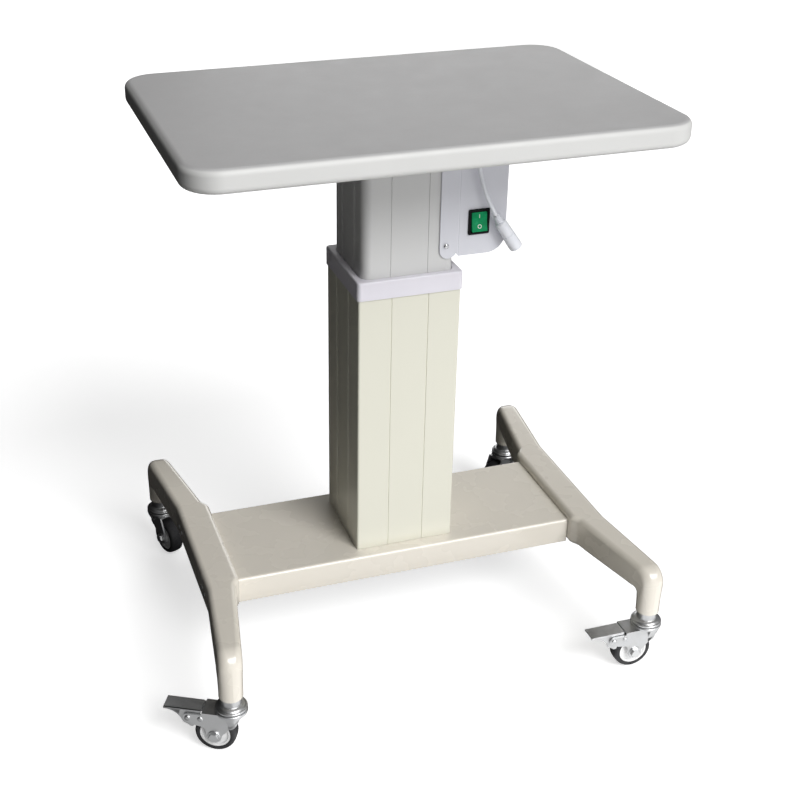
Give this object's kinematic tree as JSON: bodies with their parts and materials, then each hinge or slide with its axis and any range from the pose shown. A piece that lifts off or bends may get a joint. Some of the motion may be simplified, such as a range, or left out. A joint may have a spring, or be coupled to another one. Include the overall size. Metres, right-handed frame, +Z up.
{
  "type": "motorised ophthalmic instrument table",
  "caption": "Rounded tabletop on a two-stage electric lifting column, H-shaped base on swivel casters with front foot brakes, side control box with power rocker and hanging output cord.",
  "frame": {"origin": "centre of the footprint on the floor; the column stands 28 mm to its right because the front left brake pedal reaches out to the left", "axes": "+Z up, front of the table faces -Y, +X to the right seen from the front"},
  "size_m": [0.6349, 0.485, 0.701],
  "materials": {
    "top_laminate": "satin grey laminate with a pale rounded edge",
    "anodised": "satin",
    "cream_paint": "satin",
    "beige_paint": "gloss",
    "collar_plastic": "satin",
    "panel_paint": "satin",
    "black_plastic": "satin",
    "green_lens": "gloss",
    "white_plastic": "satin",
    "hub_plastic": "gloss",
    "zinc_plate": "zinc plated",
    "pedal_steel": "pressed sheet",
    "plated_steel": "plated",
    "steel": "satin",
    "chrome": "polished",
    "brass": "machined",
    "tyre_rubber": "matt",
    "board_green": "solder mask"
  },
  "bodies": {
    "base": {"base_spine": "steel", "cross_beam_cover": "beige_paint", "left_foot": "beige_paint", "right_foot": "beige_paint", "outer_column": "cream_paint", "column_collar": "collar_plastic", "upper_glide_ring": "white_plastic", "column_base_plate": "plated_steel", "gearbox_housing": "plated_steel", "gearbox_cover": "plated_steel", "lift_motor": "black_plastic", "front_left_caster_stem": "zinc_plate", "front_right_caster_stem": "zinc_plate", "rear_left_caster_stem": "zinc_plate", "rear_right_caster_stem": "zinc_plate"},
    "pinion": {"motor_pinion": "brass"},
    "screw": {"leadscrew": "steel", "screw_gear": "white_plastic"},
    "lift": {"inner_column": "anodised", "lower_glide_ring": "white_plastic", "push_tube": "plated_steel", "drive_nut": "brass", "top_mount_plate": "plated_steel", "tabletop": "top_laminate", "control_panel": "panel_paint", "control_box_housing": "panel_paint", "power_switch_housing": "black_plastic", "lift_switch_housing": "black_plastic", "mains_inlet": "black_plastic", "transformer": "steel", "control_board": "board_green", "panel_screw_lower": "chrome", "panel_screw_upper": "chrome", "cord_grommet": "white_plastic", "output_cord": "white_plastic", "cord_connector": "white_plastic"},
    "power_rocker": {"power_rocker": "green_lens"},
    "lift_rocker": {"lift_rocker": "white_plastic"},
    "front_left_fork": {"front_left_caster_fork": "zinc_plate", "front_left_caster_axle": "zinc_plate", "front_left_pedal_pin": "zinc_plate"},
    "front_left_wheel": {"front_left_wheel_hub": "hub_plastic", "front_left_tyre": "tyre_rubber"},
    "front_left_pedal": {"front_left_brake_pedal": "pedal_steel"},
    "front_right_fork": {"front_right_caster_fork": "zinc_plate", "front_right_caster_axle": "zinc_plate", "front_right_pedal_pin": "zinc_plate"},
    "front_right_wheel": {"front_right_wheel_hub": "hub_plastic", "front_right_tyre": "tyre_rubber"},
    "front_right_pedal": {"front_right_brake_pedal": "pedal_steel"},
    "rear_left_fork": {"rear_left_caster_fork": "zinc_plate", "rear_left_caster_axle": "zinc_plate"},
    "rear_left_wheel": {"rear_left_wheel_hub": "hub_plastic", "rear_left_tyre": "tyre_rubber"},
    "rear_right_fork": {"rear_right_caster_fork": "zinc_plate", "rear_right_caster_axle": "zinc_plate"},
    "rear_right_wheel": {"rear_right_wheel_hub": "hub_plastic", "rear_right_tyre": "tyre_rubber"}
  },
  "joints": [
    {"name": "column_lift", "type": "slide", "parent": "base", "child": "lift", "axis": [0, 0, 1], "range_m": [-0.01, 0.2]},
    {"name": "leadscrew_spin", "type": "hinge", "parent": "base", "child": "screw", "pos_m": [0.043, 0, 0.15], "axis": [0, 0, 1], "continuous": true},
    {"name": "pinion_spin", "type": "hinge", "parent": "base", "child": "pinion", "pos_m": [0.007, 0, 0.15], "axis": [0, 0, 1], "continuous": true},
    {"name": "power_rocker_tilt", "type": "hinge", "parent": "lift", "child": "power_rocker", "pos_m": [0.1128, -0.0581, 0.5618], "axis": [1, 0, 0], "range_deg": [0, 16]},
    {"name": "lift_rocker_tilt", "type": "hinge", "parent": "lift", "child": "lift_rocker", "pos_m": [0.1458, -0.008, 0.588], "axis": [0, 1, 0], "range_deg": [-8, 8], "stiffness_Nm_per_rad": 0.07},
    {"name": "front_left_swivel", "type": "hinge", "parent": "base", "child": "front_left_fork", "pos_m": [-0.242, -0.223, 0.06], "axis": [0, 0, 1], "continuous": true},
    {"name": "front_left_wheel_spin", "type": "hinge", "parent": "front_left_fork", "child": "front_left_wheel", "pos_m": [-0.25878, -0.21408, 0.025], "axis": [-0.4695, -0.8829, 0], "continuous": true},
    {"name": "front_left_brake_press", "type": "hinge", "parent": "front_left_fork", "child": "front_left_pedal", "pos_m": [-0.28615, -0.19953, 0.0485], "axis": [-0.4695, -0.8829, 0], "range_deg": [0, 12]},
    {"name": "front_right_swivel", "type": "hinge", "parent": "base", "child": "front_right_fork", "pos_m": [0.298, -0.223, 0.06], "axis": [0, 0, 1], "continuous": true},
    {"name": "front_right_wheel_spin", "type": "hinge", "parent": "front_right_fork", "child": "front_right_wheel", "pos_m": [0.279, -0.223, 0.025], "axis": [0, -1, 0], "continuous": true},
    {"name": "front_right_brake_press", "type": "hinge", "parent": "front_right_fork", "child": "front_right_pedal", "pos_m": [0.248, -0.223, 0.0485], "axis": [0, -1, 0], "range_deg": [0, 12]},
    {"name": "rear_left_swivel", "type": "hinge", "parent": "base", "child": "rear_left_fork", "pos_m": [-0.242, 0.223, 0.06], "axis": [0, 0, 1], "continuous": true},
    {"name": "rear_left_wheel_spin", "type": "hinge", "parent": "rear_left_fork", "child": "rear_left_wheel", "pos_m": [-0.2355, 0.20515, 0.025], "axis": [0.9397, 0.342, 0], "continuous": true},
    {"name": "rear_right_swivel", "type": "hinge", "parent": "base", "child": "rear_right_fork", "pos_m": [0.298, 0.223, 0.06], "axis": [0, 0, 1], "continuous": true},
    {"name": "rear_right_wheel_spin", "type": "hinge", "parent": "rear_right_fork", "child": "rear_right_wheel", "pos_m": [0.28078, 0.21497, 0.025], "axis": [0.4226, -0.9063, 0], "continuous": true}
  ],
  "couplings": [
    {"joint": "leadscrew_spin", "follows": "column_lift", "rad_per_m": 523.6},
    {"joint": "pinion_spin", "follows": "column_lift", "rad_per_m": -1570.8}
  ]
}
